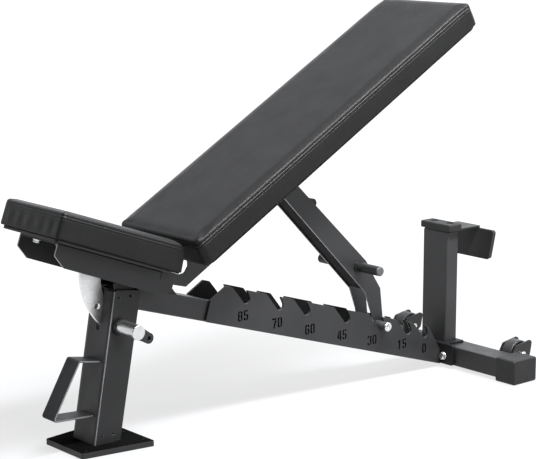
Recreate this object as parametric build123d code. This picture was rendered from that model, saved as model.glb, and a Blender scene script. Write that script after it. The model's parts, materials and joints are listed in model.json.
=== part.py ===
from build123d import *
import os
from math import sin, cos, tan, radians, hypot, sqrt, pi

os.makedirs("parts", exist_ok=True)

# ---------------------------------------------------------------- dimensions
# Millimetres. X runs from the front foot to the rear stabilizer, Y across,
# Z up, floor at Z = 0. The profiles are laid out from the front of the foot
# plate, FLOOR above the floor, and moved at the end, so that the part's origin
# is the middle of the foot plate on the floor.
ORIGIN_X, FLOOR = 87.0, 3.0

FOOT_L, FOOT_HW_F, FOOT_HW_R, FOOT_T = 178.0, 72.0, 97.5, 13.0
ANCHOR_D = 9.0
ANCHOR_FRONT = (17.0, 63.0)
ANCHOR_REAR = (165.0, 74.5)

POST_X0, POST_LEAN, POST_Z0, POST_Z1 = 50.0, 0.1775, 10.0, 352.0
POST_HW, POST_T, POST_D = 40.0, 4.0, 30.0

SPINE_W, SPINE_H, SPINE_T = 80.0, 50.0, 3.0
SPINE_X, SPINE_Z, SPINE_DEG = 369.5, 242.0, 16.96
LADDER_T = 6.0
NOTCH_S = (104.0, 213.0, 303.5, 443.5, 569.5, 670.5, 735.0)
NOTCH_M, NOTCH_R, TOOTH_M = 69.7, 11.1, 91.0
RAMP_DEG, HOOK_DEG = 34.0, 43.0

OX, OZ = 229.0, 378.0            # common hinge of the seat and the back
SHAFT_R, HUB_R, RUN = 7.0, 11.5, 0.05
SEAT_DEG, BACK_DEG = 20.2, 30.0

SEAT_HW, SEAT_U0, SEAT_U1 = 115.0, -337.2, 15.5
SEAT_N0, SEAT_N1 = 14.2, 77.8
BACK_HW, BACK_U0, BACK_U1 = 150.0, 66.4, 1064.0
BACK_N0, BACK_N1 = -10.9, 57.3

SECTOR_T, LOCK_R = 8.0, 150.5
LOCK_PIN_R = 6.75
LOCK_X = OX + LOCK_R * cos(radians(225.0))
LOCK_Z = OZ + LOCK_R * sin(radians(225.0))

STRUT_U, STRUT_N = 412.8, -38.0  # strut hinge, in the back's own frame
STRUT_HW, STRUT_T = 30.0, 4.0
PIN_R, ROLLER_R = 6.2, 10.9

STAB_X0, STAB_X1, STAB_Z0, STAB_Z1, STAB_HL = 1158.5, 1228.5, 5.0, 55.0, 290.0
WHEEL_X, WHEEL_Z, WHEEL_Y, WHEEL_R = 1272.0, 43.0, 198.5, 36.0


# ------------------------------------------------------------------- helpers
def outline(pts):
    """Closed face from (x, y[, corner radius]) points."""
    n = len(pts)
    ends = []
    for i, p in enumerate(pts):
        r = p[2] if len(p) > 2 else 0.0
        P = Vector(p[0], p[1])
        A = Vector(pts[i - 1][0], pts[i - 1][1])
        B = Vector(pts[(i + 1) % n][0], pts[(i + 1) % n][1])
        if r <= 0:
            ends.append((P, P, None))
            continue
        a = (A - P).normalized()
        b = (B - P).normalized()
        half = radians(a.get_angle(b)) / 2
        t = r / tan(half)
        c = P + (a + b).normalized() * (r / sin(half))
        m = c + (P - c).normalized() * r
        ends.append((P + a * t, P + b * t, m))
    edges = []
    for i in range(n):
        s, e, m = ends[i]
        if m is not None:
            edges.append(ThreePointArc(s, m, e))
        nxt = ends[(i + 1) % n][0]
        if (nxt - e).length > 1e-4:
            edges.append(Line(e, nxt))
    return make_face(edges)


def strip(path, t):
    """Points of a bent flat bar: path of (x, z, bend radius), thickness t."""
    def side(sign):
        out = []
        n = len(path)
        for i in range(n):
            x, z, r = path[i]
            if i > 0:
                d = hypot(x - path[i - 1][0], z - path[i - 1][1])
                a = ((x - path[i - 1][0]) / d, (z - path[i - 1][1]) / d)
            if i < n - 1:
                d = hypot(path[i + 1][0] - x, path[i + 1][1] - z)
                b = ((path[i + 1][0] - x) / d, (path[i + 1][1] - z) / d)
            if i == 0:
                a = b
            if i == n - 1:
                b = a
            na = (-a[1] * sign, a[0] * sign)
            nb = (-b[1] * sign, b[0] * sign)
            k = 1 + na[0] * nb[0] + na[1] * nb[1]
            ox, oz = (na[0] + nb[0]) / k * t / 2, (na[1] + nb[1]) / k * t / 2
            turn = a[0] * b[1] - a[1] * b[0]
            rr = 0.0
            if r > 0:
                rr = r - t / 2 if turn * sign > 0 else r + t / 2
            out.append((x + ox, z + oz, rr))
        return out
    return side(1) + side(-1)[::-1]


def slab(face, y0, y1):
    """A face drawn in X and Z, made solid from y0 to y1."""
    return extrude(Plane.XZ.offset(-y1) * face, amount=y1 - y0)


def blk(x0, x1, y0, y1, z0, z1):
    return Pos((x0 + x1) / 2, (y0 + y1) / 2, (z0 + z1) / 2) * Box(x1 - x0, y1 - y0, z1 - z0)


def ycyl(x, z, r, y0, y1):
    return Pos(x, (y0 + y1) / 2, z) * Rot(90, 0, 0) * Cylinder(r, y1 - y0)


def xcyl(y, z, r, x0, x1):
    return Pos((x0 + x1) / 2, y, z) * Rot(0, 90, 0) * Cylinder(r, x1 - x0)


def zcyl(x, y, r, z0, z1):
    return Pos(x, y, (z0 + z1) / 2) * Cylinder(r, z1 - z0)


def ring(x, z, ro, ri, y0, y1):
    return ycyl(x, z, ro, y0, y1) - ycyl(x, z, ri, y0 - 1, y1 + 1)


def hexprism(af, h):
    return extrude(RegularPolygon(af / sqrt(3), 6), amount=h)


def put(name, *solids):
    moved = [Pos(-ORIGIN_X, 0, FLOOR) * s for s in solids]
    shape = moved[0] if len(moved) == 1 else Compound(children=[s.solid() if len(s.solids()) == 1 else s for s in moved])
    export_step(shape, "parts/" + name + ".step")


SEAT = Pos(OX, 0, OZ) * Rot(0, SEAT_DEG, 0)
BACK = Pos(OX, 0, OZ) * Rot(0, -BACK_DEG, 0)
SPINE = Pos(SPINE_X, 0, SPINE_Z) * Rot(0, SPINE_DEG, 0)


def back_xz(u, n):
    c, s = cos(radians(BACK_DEG)), sin(radians(BACK_DEG))
    return OX + u * c - n * s, OZ + u * s + n * c


def spine_xz(s, m):
    c, k = cos(radians(SPINE_DEG)), sin(radians(SPINE_DEG))
    return SPINE_X + s * c + m * k, SPINE_Z - s * k + m * c


def post_x(z):
    return POST_X0 + POST_LEAN * (z - POST_Z0)


# -------------------------------------------------------------- front foot
foot = extrude(outline([(-FOOT_L / 2, -FOOT_HW_F, 3), (FOOT_L / 2, -FOOT_HW_R, 3),
                        (FOOT_L / 2, FOOT_HW_R, 3), (-FOOT_L / 2, FOOT_HW_F, 3)]), amount=FOOT_T)
foot = Pos(ORIGIN_X, 0, -FLOOR) * foot
for y in (-1, 1):
    foot -= zcyl(ANCHOR_FRONT[0], y * ANCHOR_FRONT[1], ANCHOR_D / 2, -5, 20)
    foot -= zcyl(ANCHOR_REAR[0], y * ANCHOR_REAR[1], ANCHOR_D / 2, -5, 20)
foot -= zcyl(ANCHOR_REAR[0], 0, ANCHOR_D / 2, -5, 20)
put("foot_plate", foot)

# Post: folded channel, open to the rear, slotted at the top for the sector.
post_solid = outline([(post_x(POST_Z0), POST_Z0), (post_x(POST_Z0) + POST_D, POST_Z0),
                      (post_x(POST_Z1) + POST_D, POST_Z1), (post_x(POST_Z1), POST_Z1)])
post = slab(post_solid, -POST_HW, POST_HW)
wx = POST_T * sqrt(1 + POST_LEAN ** 2)
post -= slab(outline([(post_x(0) + wx, 0), (post_x(0) + 90, 0), (post_x(400) + 90, 400),
                      (post_x(400) + wx, 400)]), -POST_HW + POST_T, POST_HW - POST_T)
front_edges = [e for e in post.edges()
               if abs(abs(e.center().Y) - POST_HW) < 0.01 and e.length > 300
               and e.center().X < post_x(e.center().Z) + 0.5]
post = fillet(front_edges, 5.0)
post -= blk(30, 135, -6, 6, 266, 400) + xcyl(0, 266, 6, 30, 135)
lock_bore = ycyl(LOCK_X, LOCK_Z, LOCK_PIN_R + 0.08, -60, -20)
post -= lock_bore
put("post_channel", post)

side = outline([(52.5, 10), (120.5, 10), (183, 346, 5), (113.8, 355, 5)])
slots = [(123, 337, -7), (156, 336.5, -7), (70, 27.5, 0), (101.5, 27.5, 0)]
for name, y0, y1 in (("post_side_plate_near", -44, -40), ("post_side_plate_far", 40, 44)):
    p = slab(side, y0, y1)
    for x, z, a in slots:
        p -= Pos(x, (y0 + y1) / 2, z) * Rot(0, -a, 0) * Box(9, 10, 4.5)
    if y0 < 0:
        p -= lock_bore
    put(name, p)

top = slab(outline([(116.2, 350.0), (168, 343.4), (168, 347.6), (116.2, 354.2)]), -40, 40)
top -= slab(post_solid, -POST_HW, -POST_HW + POST_T) + slab(post_solid, POST_HW - POST_T, POST_HW)
top -= blk(122, 134, -20, 20, 330, 360)
put("post_top_plate", top)

# Front handle: one bent flat bar, its two ends on the post.
handle = slab(outline(strip([(92, 192.2, 0), (29, 203.0, 4.5), (-42.5, 79.2, 5), (66, 72.6, 0)], 5)), -24, 24)
handle -= slab(outline([(post_x(10), 10), (200, 10), (200, 352), (post_x(352), 352)]), -60, 60)
handle = chamfer([e for e in handle.edges() if e.length > 100 and abs(abs(e.center().Y) - 24) < 0.01], 0.8)
put("front_handle", handle)

# ------------------------------------------------------------------- spine
front_cut = outline([(160.3, 250), (1150.5, -60), (1150.5, 500), (206.8, 500)])
tube = SPINE * (blk(-240, 840, -SPINE_W / 2, SPINE_W / 2, 0, SPINE_H))
tube = fillet([e for e in tube.edges() if e.length > 900], 4.0)
tube -= SPINE * blk(-260, 860, -SPINE_W / 2 + SPINE_T, SPINE_W / 2 - SPINE_T, SPINE_T, SPINE_H - SPINE_T)
tube = tube & slab(front_cut, -100, 100)
put("spine_tube", tube)

# Ladder: a ramp in front of each notch, an undercut hook behind it.
tr, ct, hk = tan(radians(RAMP_DEG)), cos(radians(RAMP_DEG)), radians(HOOK_DEG)
reach = (NOTCH_R / ct + TOOTH_M - NOTCH_M) / tr
foot_s = NOTCH_R * (1 + sin(hk) / ct) / (cos(hk) - tr * sin(hk))
tip_s = (NOTCH_R - (TOOTH_M - NOTCH_M) * sin(hk)) / cos(hk)
pts = [(-4, 0, 4), (-4, 51, 6), (33.5, TOOTH_M, 4)]
for s in NOTCH_S:
    pts.append((s - reach, TOOTH_M, 4))
    pts.append((s + foot_s, NOTCH_M - NOTCH_R / ct - foot_s * tr, NOTCH_R))
    pts.append((s + tip_s, TOOTH_M, 1.5))
pts += [(742, TOOTH_M, 3), (785.6, 52), (830, 20), (830, 0)]
rung = outline(pts)

# Notch numbers: upright stencil digits, 14 x 25, cut through the near plate.
half0 = [(6.2, 0), (6.2, 4.0), (4.6, 5.2, 1.2), (4.6, 19.8, 1.2), (6.2, 21.0), (6.2, 25), (0, 25, 5.5), (0, 0, 5.5)]
half8 = [(6.2, 0), (6.2, 3.8), (4.6, 5.0, 1.2), (4.6, 10.0, 1.2), (6.2, 11.2), (6.2, 14.2), (4.6, 15.4, 1.2),
         (4.6, 20.0, 1.2), (6.2, 21.2), (6.2, 25), (0.5, 25, 5), (0.5, 13.8, 2), (1.3, 12.8), (0, 11.6, 2), (0, 0, 5.5)]


def flip(shape):
    return [(14 - q[0],) + tuple(q[1:]) for q in shape]


DIGITS = {
    "0": [half0, flip(half0)],
    "8": [half8, flip(half8)],
    "6": [half0,
          [(7.8, 0), (14, 0, 5.5), (14, 14.8, 5), (7.8, 14.8), (7.8, 11), (9.4, 9.8, 1.2), (9.4, 5, 1.2), (7.8, 3.8)],
          [(7.8, 25), (14, 25, 5), (14, 18.2), (9.4, 18.2), (9.4, 20, 1), (7.8, 21.2)]],
    "5": [[(0.6, 25), (6.2, 25), (6.2, 21), (4.8, 21), (4.8, 15.2), (6.2, 15.2), (6.2, 11.4), (0.6, 11.4)],
          [(7.8, 25), (13.4, 25), (13.4, 21), (7.8, 21)],
          [(7.8, 0), (14, 0, 5.5), (14, 15.6, 5.5), (7.8, 15.6), (7.8, 11.8), (9.4, 10.6, 1.2), (9.4, 5, 1.2), (7.8, 3.8)],
          [(6.2, 0), (6.2, 3.8), (4.6, 5, 1), (4.6, 7), (0, 7), (0, 0, 5)]],
    "7": [[(0, 25), (14, 25), (14, 20.8), (0, 20.8)], [(8.6, 19.4), (13.6, 19.4), (8, 0), (3, 0)]],
    "4": [[(0, 5.2), (6.4, 5.2), (6.4, 9.2), (4.6, 9.2), (6.4, 15.4), (6.4, 25), (5.0, 25), (0, 9.4)],
          [(8, 0), (12.4, 0), (12.4, 5.2), (14.2, 5.2), (14.2, 9.2), (12.4, 9.2), (12.4, 25), (8, 25)]],
    "3": [flip(half8),
          [(6.2, 25), (0.4, 25, 5), (0.4, 18.6), (4.8, 18.6), (4.8, 20, 1), (6.2, 21.2)],
          [(6.2, 0), (0, 0, 5), (0, 6.6), (4.6, 6.6), (4.6, 5, 1), (6.2, 3.8)]],
    "1": [[(4.6, 0), (9.4, 0), (9.4, 25), (6.4, 25), (1.6, 21.4), (1.6, 18), (4.6, 19.4)]],
}
LABELS = [("85", 478, 240), ("70", 584, 206), ("60", 690, 173), ("45", 797, 140), ("30", 901, 110),
          ("15", 1008, 81), ("0", 1090, 56)]
numbers = []
for word, xc, zc in LABELS:
    x = xc - (len(word) * 14 + (len(word) - 1) * 3.5) / 2
    for ch in word:
        for shape in DIGITS[ch]:
            numbers.append(slab(outline([(x + q[0], zc - 12.5 + q[1]) + tuple(q[2:]) for q in shape]), -47, -39.9))
        x += 17.5

for name, y0, y1 in (("ladder_plate_near", -46, -40), ("ladder_plate_far", 40, 46)):
    p = (SPINE * slab(rung, y0, y1)) & blk(300, 1150.5, -60, 60, 0, 400)
    if y0 < 0:
        for n in numbers:
            p -= n
    put(name, p)

# -------------------------------------------------------------------- rear
bracket = blk(1150.5, 1158.5, -91, 91, 6, 60) + blk(1155, 1218, -66, 66, 55, 60)
bracket = fillet([e for e in bracket.edges() if e.length < 9 and abs(abs(e.center().Y) - 91) < 0.01
                  and abs(e.center().X - 1154.5) < 0.01], 5)
BOLT_Y, BOLT_Z = 58.0, 28.0
stab = blk(STAB_X0, STAB_X1, -STAB_HL, STAB_HL, STAB_Z0, STAB_Z1)
stab = fillet([e for e in stab.edges() if e.length > 500], 4.0)
stab -= blk(STAB_X0 + 2.5, STAB_X1 - 2.5, -400, 400, STAB_Z0 + 2.5, STAB_Z1 - 2.5)
bolts, nuts = [], []
for y in (-BOLT_Y, BOLT_Y):
    bracket -= xcyl(y, BOLT_Z, 5.1, 1100, 1190)
    stab -= xcyl(y, BOLT_Z, 5.1, 1100, 1300)
    head = Pos(1148.5, y, BOLT_Z) * Rot(0, -90, 0) * hexprism(17, 6.5)
    head = head & Pos(1145.25, y, BOLT_Z) * Rot(0, 90, 0) * Cylinder(9.45, 7)
    washer = xcyl(y, BOLT_Z, 10.5, 1148.5, 1150.5)
    bolts.append(head + washer + xcyl(y, BOLT_Z, 5.0, 1149, 1238))
    nuts.append(Pos(STAB_X1, y, BOLT_Z) * Rot(0, 90, 0) * hexprism(17, 8) - xcyl(y, BOLT_Z, 5.0, 1200, 1300))
put("rear_bracket", bracket)
put("stabilizer_tube", stab)
put("frame_bolts", *bolts)
put("frame_nuts", *nuts)

pillar = blk(1171.5, 1214.5, -43, 43, 60, 351)
pillar = fillet([e for e in pillar.edges() if e.length > 200], 3.5)
inner = blk(1174, 1212, -40.5, 40.5, 50, 360)
pillar -= inner
put("pillar_tube", pillar)

CAP_X, CAP_Y = 1197.0, 28.0
trap = [(-76, 268, 8), (76, 268, 8), (92, 348, 8), (-92, 348, 8)]
hold = extrude(Plane.YZ.offset(1296) * outline(trap), amount=4)
hold += blk(1296, 1300, -40, 40, 330, 355)
hold += blk(1173, 1300, -40, 40, 351, 355)
for y in (-CAP_Y, CAP_Y):
    hold -= zcyl(CAP_X, y, 3.05, 340, 360)
put("storage_bracket", hold)
trap_in = [(-75.2, 269, 8), (75.2, 269, 8), (90.8, 347, 8), (-90.8, 347, 8)]
rubber = extrude(Plane.YZ.offset(1300) * outline(trap_in), amount=10)
rubber = fillet(rubber.faces().sort_by(Axis.X)[-1].edges(), 2.5)
put("storage_pad", rubber)

cap = blk(1169.5, 1217, -54, 54, 355, 372)
cap = fillet(cap.edges().filter_by(Axis.Z), 6)
cap = fillet(cap.faces().sort_by(Axis.Z)[-1].edges(), 3.5)
screws = []
for y in (-CAP_Y, CAP_Y):
    cap -= zcyl(CAP_X, y, 10.5, 363, 380) + zcyl(CAP_X, y, 3.05, 340, 370)
    sc = zcyl(CAP_X, y, 6.0, 363, 366.6) + zcyl(CAP_X, y, 3.0, 343, 364)
    sc = fillet(sc.edges().filter_by(GeomType.CIRCLE).sort_by(Axis.Z)[-1], 1.4)
    sc -= Pos(CAP_X, y, 365) * hexprism(4, 3)
    screws.append(sc)
put("pillar_cap", cap)
put("cap_screws", *screws)

for name, sgn in (("stabilizer_cap_near", -1), ("stabilizer_cap_far", 1)):
    ya, yb = sorted((sgn * 238, sgn * 300))
    c = blk(1154, 1240, ya, yb, -FLOOR, 60)
    c = fillet(c.edges().filter_by(Axis.Y), 6)
    outer = c.faces().sort_by(Axis.Y)[-1 if sgn > 0 else 0]
    c = fillet(outer.edges(), 4)
    ca, cb = sorted((sgn * 230, sgn * 290))
    c -= (blk(STAB_X0, STAB_X1, ca, cb, STAB_Z0, STAB_Z1))
    put(name, c)

# Wheel ears, axle bolts and wheels.
ear = outline([(1228.5, 13), (1228.5, 44), (1237, 50, 3), (1250, 70, 6), (1311, 79, 9),
               (1303, 38, 9), (1272, 15, 12)])
wheel_prof = make_face([
    Line((5 + RUN, -19.6), (12, -19.6)), Line((12, -19.6), (12, -9)), Line((12, -9), (26, -9)),
    Line((26, -9), (26, -16)), Line((26, -16), (33, -16)), ThreePointArc((33, -16), (35.1, -15.1), (36, -13)),
    Line((36, -13), (36, 13)), ThreePointArc((36, 13), (35.1, 15.1), (33, 16)),
    Line((33, 16), (26, 16)), Line((26, 16), (26, 9)), Line((26, 9), (12, 9)),
    Line((12, 9), (12, 19.6)), Line((12, 19.6), (5 + RUN, 19.6)), Line((5 + RUN, 19.6), (5 + RUN, -19.6))])
wheel0 = revolve(wheel_prof, Axis.Y)
wbolts, wnuts = [], []
for tag, sgn in (("near", -1), ("far", 1)):
    for part, yc in (("inner", 176.0), ("outer", 221.0)):
        ya, yb = sorted((sgn * (yc - 2), sgn * (yc + 2)))
        put("wheel_ear_%s_%s" % (tag, part), slab(ear, ya, yb) - ycyl(WHEEL_X, WHEEL_Z, 5.0, ya - 5, yb + 5))
    put("wheel_" + tag, Pos(WHEEL_X, sgn * WHEEL_Y, WHEEL_Z) * wheel0)
    y1, y2 = sorted((sgn * 165.0, sgn * 224.0))
    rod = ycyl(WHEEL_X, WHEEL_Z, 5.0, y1, y2)
    hx = Pos(WHEEL_X, sgn * 223, WHEEL_Z) * Rot(-90 * sgn, 0, 0) * hexprism(16, 6)
    wbolts.append(rod + hx)
    wnuts.append(Pos(WHEEL_X, sgn * 174, WHEEL_Z) * Rot(90 * sgn, 0, 0) * hexprism(16, 7)
                 - ycyl(WHEEL_X, WHEEL_Z, 5.0, -300, 300))
put("wheel_bolts", *wbolts)
put("wheel_nuts", *wnuts)

# ------------------------------------------------------------- hinge at O
def spine_top(x):
    return SPINE_Z - (x - SPINE_X) * tan(radians(SPINE_DEG)) + SPINE_H / cos(radians(SPINE_DEG))


cheek = outline([(118, 355.0), (168, 348.7), (175, spine_top(175)), (290, spine_top(290)), (276, 336, 4),
                 (274, 346, 8), (OX + 8.5, OZ + 8.0, 6), (OX - 7.5, OZ + 9.0, 6), (206, 371, 8), (118, 371, 4)])
for name, y0, y1 in (("hinge_plate_near", -36, -30), ("hinge_plate_far", 30, 36)):
    put(name, slab(cheek, y0, y1) - ycyl(OX, OZ, SHAFT_R, y0 - 2, y1 + 2))
shaft = ycyl(OX, OZ, SHAFT_R, -74.5, 74.5)
shaft = chamfer(shaft.edges().filter_by(GeomType.CIRCLE), 0.8)
put("hinge_shaft", shaft)
put("hinge_spacers_inner", ring(OX, OZ, 10.5, SHAFT_R, 36, 47.2), ring(OX, OZ, 10.5, SHAFT_R, -47.2, -36))
put("hinge_spacers_outer", ring(OX, OZ, 10.5, SHAFT_R, 51.8, 70.2), ring(OX, OZ, 10.5, SHAFT_R, -70.2, -51.8))

# -------------------------------------------------------------------- lock
collar = ring(LOCK_X, LOCK_Z, 19.2, 17.4, -55, -44)
collar = chamfer(collar.edges().filter_by(GeomType.CIRCLE).group_by(Axis.Y)[0].sort_by(SortBy.LENGTH)[-1], 0.6)
put("lock_collar", collar)
pin = ycyl(LOCK_X, LOCK_Z, LOCK_PIN_R, -100, -SECTOR_T / 2 - 0.3)
pin = chamfer(pin.edges().filter_by(GeomType.CIRCLE).sort_by(Axis.Y)[-1], 1.2)
put("lock_pin", pin)
knob = ycyl(LOCK_X, LOCK_Z, 17, -118, -53.6)
knob = fillet(knob.edges().filter_by(GeomType.CIRCLE).sort_by(Axis.Y)[0], 1.6)
knob -= ycyl(LOCK_X, LOCK_Z, LOCK_PIN_R, -100, -50)
put("lock_knob", knob)
ax, az = 154.0, 253.0
d = hypot(ax - LOCK_X, az - LOCK_Z)
ux, uz = (ax - LOCK_X) / d, (az - LOCK_Z) / d
web = outline([(LOCK_X - uz * 15, LOCK_Z + ux * 15), (ax - uz * 11.8, az + ux * 11.8),
               (ax + uz * 11.8, az - ux * 11.8), (LOCK_X + uz * 15, LOCK_Z - ux * 15)])
arm = slab(web, -112, -104) + ycyl(ax, az, 12.4, -112, -104)
arm -= ycyl(LOCK_X, LOCK_Z, 17, -120, -100) + ycyl(ax, az, 5.2, -120, -107)
put("lock_arm", arm)

# -------------------------------------------------------------------- seat
flange = outline([(-303, 6.7), (-302.6, -22.2, 4), (-271, -42.8, 6), (11, -44.8, 14), (29, -29.4, 12),
                  (28.3, 10.5, 8), (-10.6, 10.5), (-10.6, -10), (-12.6, -10), (-12.6, 6.7)])
chan = slab(flange, -74.5, -70.5) + slab(flange, 70.5, 74.5) + blk(-303, -19, -74.5, 74.5, 2.7, 6.7)
chan = fillet([e for e in chan.edges() if e.length > 200 and abs(abs(e.center().Y) - 74.5) < 0.01
               and abs(e.center().Z - 6.7) < 0.01], 3.5)
chan -= ycyl(0, 0, SHAFT_R + RUN, -90, 90)
seat_bolt_at = [(-277, -46), (-277, 46), (-60, -46), (-60, 46)]
plate = extrude(outline([(-331, -107, 8), (-13.5, -107, 6), (-13.5, 107, 6), (-331, 107, 8)]), amount=4)
plate = Pos(0, 0, 6.7) * plate
board = extrude(outline([(-331, -107, 8), (14, -107, 8), (14, 107, 8), (-331, 107, 8)]), amount=3.5)
board = Pos(0, 0, 10.7) * board
board -= blk(-22, 40, -72, 72, 5, 20)
sb = []
for u, y in seat_bolt_at:
    hole = zcyl(u, y, 4.05, -5, 30)
    chan -= hole
    plate -= hole
    board -= hole
    b = zcyl(u, y, 7.5, -5.3, 1.2)
    b = fillet(b.edges().filter_by(GeomType.CIRCLE).sort_by(Axis.Z)[0], 2)
    b -= Pos(u, y, -6.0) * hexprism(5, 3.4)
    sb.append(SEAT * (b + zcyl(u, y, 9.5, 1.1, 2.7) + zcyl(u, y, 4.0, 2, 14.1)))
put("seat_channel", SEAT * chan)
put("seat_base_plate", SEAT * plate)
put("seat_board", SEAT * board)
put("seat_bolts", *sb)

# Cushion: plan outline and side profile, its rear end rounded well back.
pad = Pos(0, 0, SEAT_N0) * extrude(outline([(SEAT_U0, -SEAT_HW, 12.8), (SEAT_U1, -SEAT_HW, 12.8),
                                            (SEAT_U1, SEAT_HW, 12.8), (SEAT_U0, SEAT_HW, 12.8)]),
                                   amount=SEAT_N1 - SEAT_N0)
pad = fillet(pad.faces().sort_by(Axis.Z)[-1].edges(), 12)
pad = fillet(pad.faces().sort_by(Axis.Z)[0].edges(), 3)
pad &= slab(outline([(SEAT_U0 - 5, SEAT_N0 - 5), (SEAT_U1 + 0.5, SEAT_N0 - 5), (SEAT_U1 - 5.6, SEAT_N1, 32),
                     (SEAT_U0 - 5, SEAT_N1)]), -200, 200)
for y in (-49.5, 49.5):          # room under its rear end for the two arms of the back
    pad -= blk(-4, 30, y - 4.5, y + 4.5, SEAT_N0 - 2, SEAT_N0 + 6)
put("seat_pad", SEAT * pad)

# Sector: hangs under the seat channel, swings past the lock pin.
ring_face = Pos(218.2, 393.8) * Circle(169.6) - Pos(OX, OZ) * Circle(126)
c19, s19 = cos(radians(SEAT_DEG)), sin(radians(SEAT_DEG))
tu = lambda u, n: (OX + u * c19 + n * s19, OZ - u * s19 + n * c19)
end = 236.0
wedge = outline([tu(-90, 2.7), tu(-320, 2.7), (-120, 300), (-60, 150),
                 (OX + 260 * cos(radians(end)), OZ + 260 * sin(radians(end))),
                 (OX + 90 * cos(radians(end)), OZ + 90 * sin(radians(end)))])
sector_face = ring_face & wedge
sector = slab(sector_face, -SECTOR_T / 2, SECTOR_T / 2)
for a in (225.0, 225.0 - SEAT_DEG):
    sector -= ycyl(OX + LOCK_R * cos(radians(a)), OZ + LOCK_R * sin(radians(a)), 7.2, -20, 20)
put("sector_plate", sector)

# -------------------------------------------------------------------- back
cheek_b = outline([(-9, -6.5), (20.8, -49.4, 4), (44.8, -73.4, 5), (700, -73.4, 8), (722, -50, 8),
                   (722, -15.4), (82, -15.4), (79.5, -26, 4), (74.5, -36, 6), (57.7, -43.8, 12),
                   (44.6, -37.4, 8), (9.5, 6)])
arms = slab(cheek_b, -51.5, -47.5) + slab(cheek_b, 47.5, 51.5)
arms += ycyl(0, 0, HUB_R, -51.5, -47.5) + ycyl(0, 0, HUB_R, 47.5, 51.5)
arms += blk(82, 722, -51.5, 51.5, -19.4, -15.4)
arms = fillet([e for e in arms.edges() if e.length > 500 and abs(abs(e.center().Y) - 51.5) < 0.01
               and abs(e.center().Z + 15.4) < 0.01], 3.5)
arms -= ycyl(0, 0, SHAFT_R + RUN, -90, 90)
arms -= ycyl(STRUT_U, STRUT_N, 6.0, -90, 90)
bboard = Pos(0, 0, -15.4) * extrude(outline([(BACK_U0 + 5, -BACK_HW + 4.5, 22), (BACK_U1 - 5, -BACK_HW + 4.5, 22),
                                             (BACK_U1 - 5, BACK_HW - 4.5, 22), (BACK_U0 + 5, BACK_HW - 4.5, 22)]), amount=4.5)
bb = []
for u in (150, 680):
    for y in (-28, 28):
        hole = zcyl(u, y, 4.05, -40, 0)
        arms -= hole
        bboard -= hole
        b = zcyl(u, y, 7.5, -24.4, -19.4)
        b = fillet(b.edges().filter_by(GeomType.CIRCLE).sort_by(Axis.Z)[0], 2)
        b -= Pos(u, y, -25) * hexprism(5, 3)
        bb.append(BACK * (b + zcyl(u, y, 4.0, -20, -11)))
put("back_frame", BACK * arms)
put("back_board", BACK * bboard)
put("back_bolts", *bb)
bpad = Pos(0, 0, BACK_N0) * extrude(outline([(BACK_U0, -BACK_HW, 18), (BACK_U1, -BACK_HW, 15),
                                             (BACK_U1, BACK_HW, 15), (BACK_U0, BACK_HW, 18)]),
                                    amount=BACK_N1 - BACK_N0)
bpad = fillet(bpad.faces().sort_by(Axis.Z)[-1].edges(), 12)
bpad = fillet(bpad.faces().sort_by(Axis.Z)[0].edges(), 4)
put("back_pad", BACK * bpad)

rod = ycyl(STRUT_U, STRUT_N, 6.0, -56.5, 56.5)
for s in (-1, 1):
    ya, yb = sorted((s * 51.5, s * 56.5))
    rod += ycyl(STRUT_U, STRUT_N, 9.5, ya, yb)
put("strut_shaft", BACK * rod)
put("strut_spacers", BACK * ring(STRUT_U, STRUT_N, 9.5, 6.0, 30.3, 47.5),
    BACK * ring(STRUT_U, STRUT_N, 9.5, 6.0, -47.5, -30.3))

# ------------------------------------------------------------------- strut
PX, PZ = back_xz(STRUT_U, STRUT_N)
QX, QZ = spine_xz(NOTCH_S[4], NOTCH_M)
BAR_X, BAR_Z = 866.4, 302.0
side_s = outline([(589, 535, 10), (891, 233, 10), (912.5, 176.5, 10), (QX - 16.5, QZ), (QX + 16.5, QZ), (952.8, 161, 10),
                  (943.6, 235.4, 10), (922, 267.2, 10), (893.3, 312.5, 10), (622, 568, 12), (594.5, 562.5, 8)])
strut = slab(side_s, -30, -26) + slab(side_s, 26, 30)
strut += ycyl(QX, QZ, 16.5, -30, -26) + ycyl(QX, QZ, 16.5, 26, 30)
t2 = STRUT_T / sqrt(2)
front_web = outline([(605.2, 523.2), (888.2, 240.2), (888.2 + t2, 240.2 + t2), (605.2 + t2, 523.2 + t2)])
strut += slab(front_web, -30, 30)
strut -= ycyl(PX, PZ, 6.0 + RUN, -90, 90)
strut -= ycyl(QX, QZ, PIN_R, -90, 90)
strut -= ycyl(BAR_X, BAR_Z, 12, -90, 90)
put("strut_channel", strut)
put("strut_handle_bar", ycyl(BAR_X, BAR_Z, 12, -105, 105) - ycyl(BAR_X, BAR_Z, 9.5, -120, 120))
plugs, collars, rollers, heads = [], [], [], []
for s in (-1, 1):
    ya, yb = sorted((s * 105, s * 110))
    p = ycyl(BAR_X, BAR_Z, 12, ya, yb)
    p = fillet(p.edges().filter_by(GeomType.CIRCLE).sort_by(Axis.Y)[-1 if s > 0 else 0], 3)
    ya, yb = sorted((s * 90, s * 105))
    plugs.append(p + ycyl(BAR_X, BAR_Z, 9.5, ya, yb))
    ya, yb = sorted((s * 30, s * 35))
    collars.append(ring(BAR_X, BAR_Z, 15.5, 12, ya, yb))
    ya, yb = sorted((s * 30, s * 63))
    rollers.append(ring(QX, QZ, ROLLER_R, PIN_R, ya, yb))
    ya, yb = sorted((s * 63, s * 72))
    h = ycyl(QX, QZ, 11.5, ya, yb)
    h = fillet(h.edges().filter_by(GeomType.CIRCLE).group_by(Axis.Y)[-1 if s > 0 else 0], 3)
    h -= ycyl(QX, QZ, PIN_R - 1.2, *sorted((s * 60, s * 68)))
    h -= Pos(QX, s * 69, QZ) * Rot(-90 * s, 0, 0) * hexprism(7, 5)
    heads.append(h)
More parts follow.
